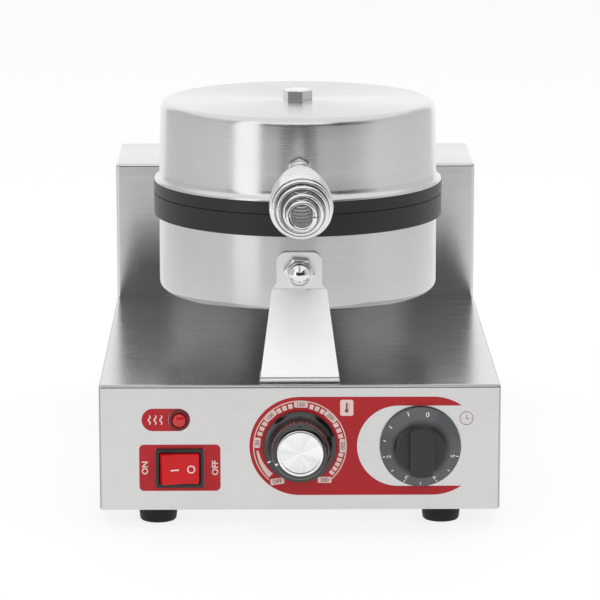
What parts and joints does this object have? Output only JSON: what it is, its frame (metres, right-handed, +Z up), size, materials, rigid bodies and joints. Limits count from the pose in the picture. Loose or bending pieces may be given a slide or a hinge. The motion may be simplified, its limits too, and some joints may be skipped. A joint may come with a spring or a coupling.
{
  "type": "heart waffle maker",
  "caption": "Countertop electric heart waffle maker with hinged round lid, coiled wire handle, thermostat and timer knobs and rocker switch on a steel base.",
  "frame": {"origin": "on the surface it stands on, under the middle of its whole length and width, handle and cord gland included", "axes": "+Z up, +Y towards the back, +X to the user's right; the front panel faces -Y"},
  "size_m": [0.25, 0.4751, 0.2583],
  "materials": {
    "steel_sheet": "brushed stainless sheet",
    "hinge_steel": "plain stainless",
    "fasteners": "zinc plated",
    "handle_chrome": "polished",
    "plate_casting": "non-stick coated casting",
    "element_sheath": "heat-dulled sheath",
    "insulation": "glass fibre pad",
    "foot_rubber": "matte",
    "gland_plastic": "satin",
    "control_plastic": "matte",
    "switch_plastic": "gloss",
    "rocker_red": "gloss",
    "lamp_red": "clear red gloss",
    "lamp_ring": "gloss",
    "label_red": "printed satin",
    "knob_gloss": "high gloss",
    "knob_cap": "spun",
    "knob_satin": "satin",
    "shaft_brass": "plain",
    "sensor_copper": "plain"
  },
  "bodies": {
    "base": {"base_shell": "steel_sheet", "column_shell": "steel_sheet", "rear_cover": "steel_sheet", "bottom_plate": "steel_sheet", "feet": "foot_rubber", "foot_screws": "fasteners", "foot_nuts": "fasteners", "flange_screws": "fasteners", "cover_screws": "fasteners", "cable_gland": "gland_plastic", "gland_nut": "gland_plastic", "lower_plate": "plate_casting", "lower_shell": "steel_sheet", "lower_element": "element_sheath", "lower_clamp": "hinge_steel", "lower_pad": "insulation", "lower_bolt": "fasteners", "thermostat_sensor": "sensor_copper", "thermal_cutout": "shaft_brass", "hinge_bracket": "hinge_steel", "bracket_bolts": "fasteners", "bracket_nuts": "fasteners", "lower_cradle_screws": "fasteners", "hinge_pin": "hinge_steel", "stop_pin": "hinge_steel", "pin_clips": "hinge_steel", "front_support": "steel_sheet", "support_screws": "fasteners", "support_stud": "fasteners", "support_cap_nut": "fasteners", "heat_label": "label_red", "switch_label": "label_red", "control_label": "label_red", "thermostat_body": "control_plastic", "timer_body": "control_plastic", "control_nuts": "fasteners", "switch_body": "switch_plastic", "lamp_body": "lamp_ring", "lamp_lens": "lamp_red", "terminal_block": "control_plastic"},
    "lid": {"upper_shell": "steel_sheet", "upper_plate": "plate_casting", "upper_element": "element_sheath", "upper_clamp": "hinge_steel", "upper_pad": "insulation", "lid_bolt": "fasteners", "upper_cradle_screws": "fasteners", "hinge_arm": "hinge_steel", "handle_coil": "handle_chrome", "handle_stud": "fasteners", "handle_nuts": "fasteners"},
    "rocker": {"power_rocker": "rocker_red"},
    "thermostat_dial": {"thermostat_knob": "knob_gloss", "thermostat_cap": "knob_cap", "thermostat_shaft": "shaft_brass"},
    "timer_dial": {"timer_knob": "knob_satin", "timer_shaft": "shaft_brass"}
  },
  "joints": [
    {"name": "lid_hinge", "type": "hinge", "parent": "base", "child": "lid", "pos_m": [0, 0.09558, 0.2004], "axis": [-1, 0, 0], "range_deg": [0, 100]},
    {"name": "power_switch", "type": "hinge", "parent": "base", "child": "rocker", "pos_m": [-0.0748, -0.14042, 0.0373], "axis": [0, 0, -1], "range_deg": [0, 16]},
    {"name": "thermostat_turn", "type": "hinge", "parent": "base", "child": "thermostat_dial", "pos_m": [0, -0.14642, 0.051], "axis": [0, 1, 0], "range_deg": [-35, 257]},
    {"name": "timer_turn", "type": "hinge", "parent": "base", "child": "timer_dial", "pos_m": [0.075, -0.14642, 0.051], "axis": [0, 1, 0], "range_deg": [0, 267]}
  ]
}
